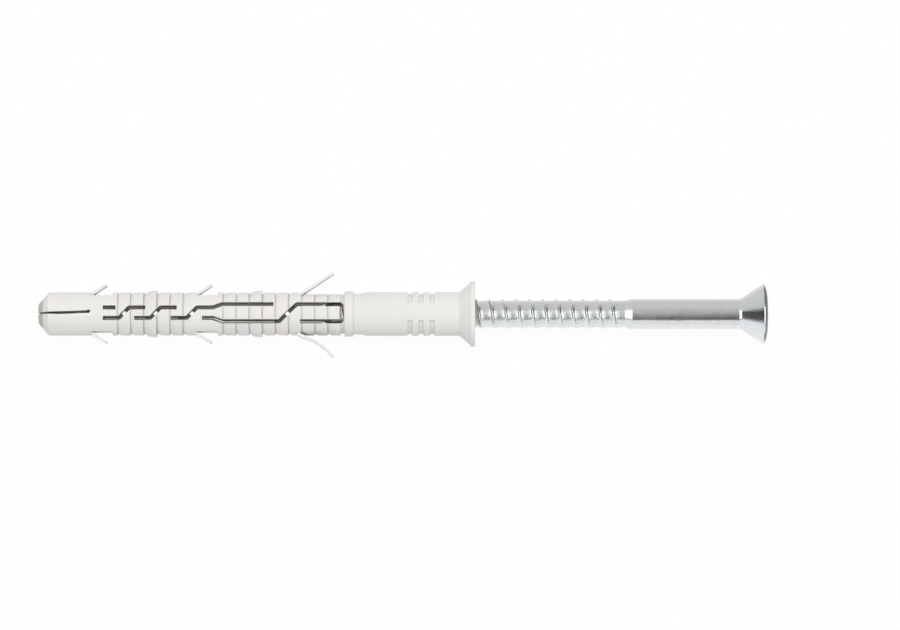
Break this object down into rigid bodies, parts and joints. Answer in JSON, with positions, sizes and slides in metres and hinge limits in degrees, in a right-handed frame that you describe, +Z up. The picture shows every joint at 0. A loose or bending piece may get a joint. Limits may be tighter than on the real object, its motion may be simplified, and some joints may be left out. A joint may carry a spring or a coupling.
{
  "type": "frame fixing",
  "caption": "Long nylon frame plug with a countersunk collar, saw-tooth ribs, Z-shaped slots and spring barbs, and a zinc-plated countersunk screw set part-way into it.",
  "frame": {"origin": "on the surface that the fixing lies on, under the middle of its overall length and width", "axes": "+X along the plug's axis from the nose to the screw head, +Y along the line of the barbs (up in the picture), +Z up as it lies"},
  "size_m": [0.167, 0.0196, 0.0149],
  "materials": {
    "nylon": "warm white moulded nylon, satin matt, slightly translucent",
    "zinc_steel": "bright zinc plating, turned head face"
  },
  "bodies": {
    "root": {"plug": "nylon", "screw": "zinc_steel"}
  },
  "joints": []
}
